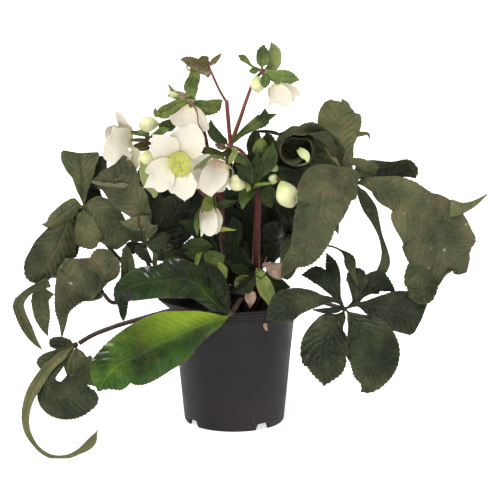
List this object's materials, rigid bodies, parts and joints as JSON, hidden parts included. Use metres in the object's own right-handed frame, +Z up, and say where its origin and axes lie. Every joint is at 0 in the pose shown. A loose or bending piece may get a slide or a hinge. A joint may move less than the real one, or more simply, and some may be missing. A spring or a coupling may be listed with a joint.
{
  "type": "potted hellebore plant",
  "caption": "Flowering hellebore in a round black nursery pot: ivory blooms and buds on forked red stalks above dark, long drooping leaves with toothed leaflets.",
  "frame": {"origin": "centre of the plan of the whole plant and pot, on the surface that the pot stands on", "axes": "+Z up along the pot's axis; the side that faces the viewer in the picture looks along -Y and its right is +X"},
  "size_m": [0.4932, 0.2836, 0.4032],
  "materials": {
    "pot": "matt black moulded plastic, dusty low down",
    "soil": "moist dark compost",
    "leaf": "dark leathery leaf, half matt",
    "young_leaf": "glossy green leaf",
    "bract": "mid green bract, half matt",
    "petiole": "reddish brown leaf stalk",
    "stalk": "pinkish red flower stalk",
    "sepal": "ivory, soft and slightly translucent",
    "stamen": "yellow-green",
    "bud": "pale yellow-green, smooth",
    "dry_leaf": "dried beige-pink leaf"
  },
  "bodies": {
    "root": {"pot": "pot", "stalk_left": "stalk", "stalk_right": "stalk", "petiole_a": "petiole", "petiole_b": "petiole", "petiole_c": "petiole", "petiole_d": "petiole", "petiole_e": "petiole", "petiole_f": "petiole", "petiole_g": "petiole", "petiole_h": "petiole", "petiole_i": "petiole", "petiole_j": "petiole", "leaf_a": "leaf", "leaf_b": "young_leaf", "leaf_c": "leaf", "leaf_d": "leaf", "leaf_e": "leaf", "leaf_f": "leaf", "leaf_g": "leaf", "leaf_h": "leaf", "leaf_i": "leaf", "leaf_j": "leaf", "bloom_front": "sepal", "heart_front": "stamen", "bloom_upper": "sepal", "heart_upper": "stamen", "bloom_left": "sepal", "heart_left": "stamen", "bloom_right": "sepal", "heart_right": "stamen", "bloom_top": "sepal", "heart_top": "stamen", "bloom_low": "sepal", "bud_top": "bud", "bud_left": "bud", "bud_behind": "bud", "bud_centre": "bud", "bud_large": "bud", "bud_small": "bud", "bud_green": "bud", "bud_side": "bud", "bud_crown": "bud", "bracts_crown": "bract", "bracts_upper": "bract", "bracts_left": "bract", "bracts_fork": "bract", "bracts_top": "bract", "bracts_stalk": "bract", "bracts_low_bloom": "bract", "leaves_low": "bract", "dry_leaves": "dry_leaf", "leaves_centre": "bract", "soil": "soil"}
  },
  "joints": []
}
